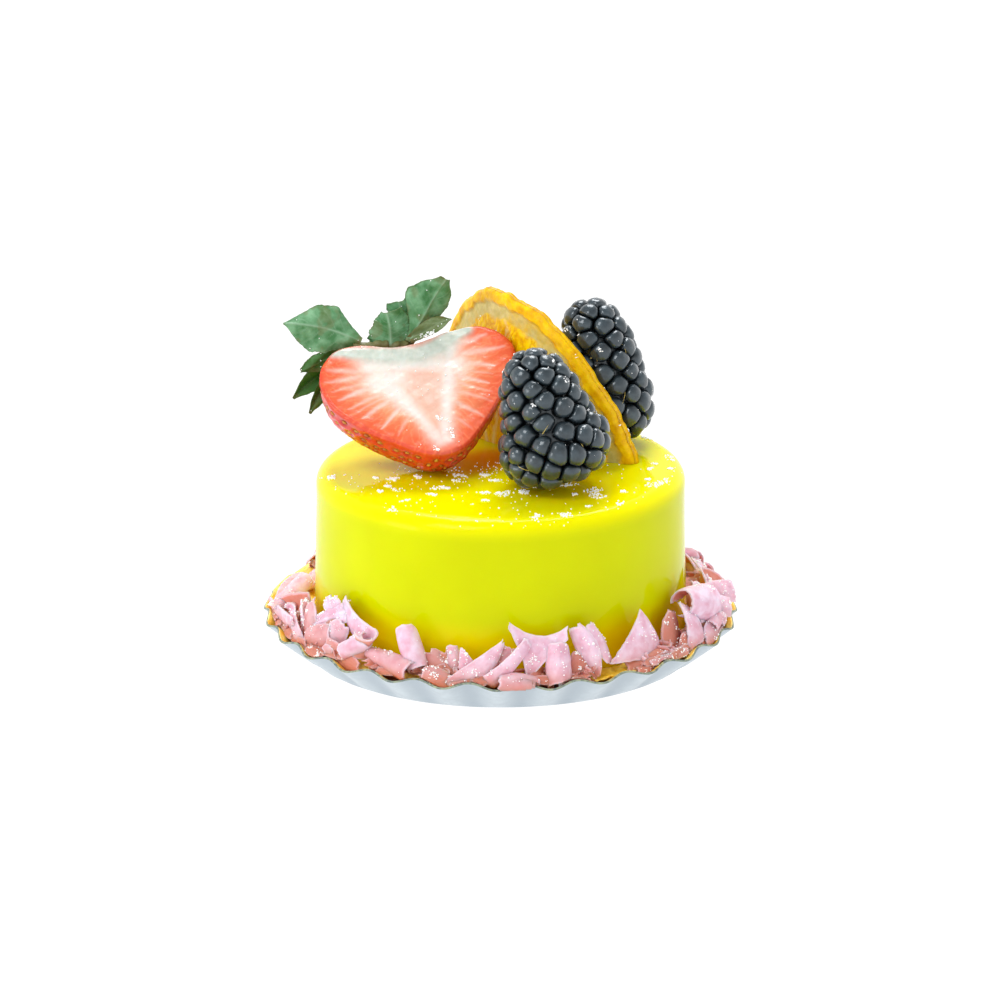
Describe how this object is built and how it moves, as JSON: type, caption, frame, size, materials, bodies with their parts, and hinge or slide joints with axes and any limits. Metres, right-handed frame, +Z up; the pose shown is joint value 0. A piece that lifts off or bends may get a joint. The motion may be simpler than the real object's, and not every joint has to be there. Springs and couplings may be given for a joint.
{
  "type": "individual passion fruit mousse cake",
  "caption": "Round glazed mousse cake in a fluted foil-lined card case, topped with half a strawberry, a dried orange slice and bramble berries, ringed by chocolate curls.",
  "frame": {"origin": "middle of the case's underside, on the surface that the cake stands on", "axes": "+Z up, -Y towards the side that the picture shows, +X to the right as seen from there"},
  "size_m": [0.0922, 0.0922, 0.0703],
  "materials": {
    "white_card": "white outside, gold foil inside",
    "yellow_glaze": "wet mirror glaze",
    "pink_chocolate": "matt shaved chocolate",
    "strawberry_flesh": "moist cut fruit",
    "strawberry_leaf": "matt leaf",
    "dried_orange": "dried, slightly sticky fruit",
    "bramble_skin": "smooth fruit skin"
  },
  "bodies": {
    "root": {"paper_case": "white_card", "cake": "yellow_glaze", "chocolate_curls": "pink_chocolate", "strawberry": "strawberry_flesh", "strawberry_calyx": "strawberry_leaf", "orange_slice": "dried_orange", "bramble_front": "bramble_skin", "bramble_back": "bramble_skin"}
  },
  "joints": []
}
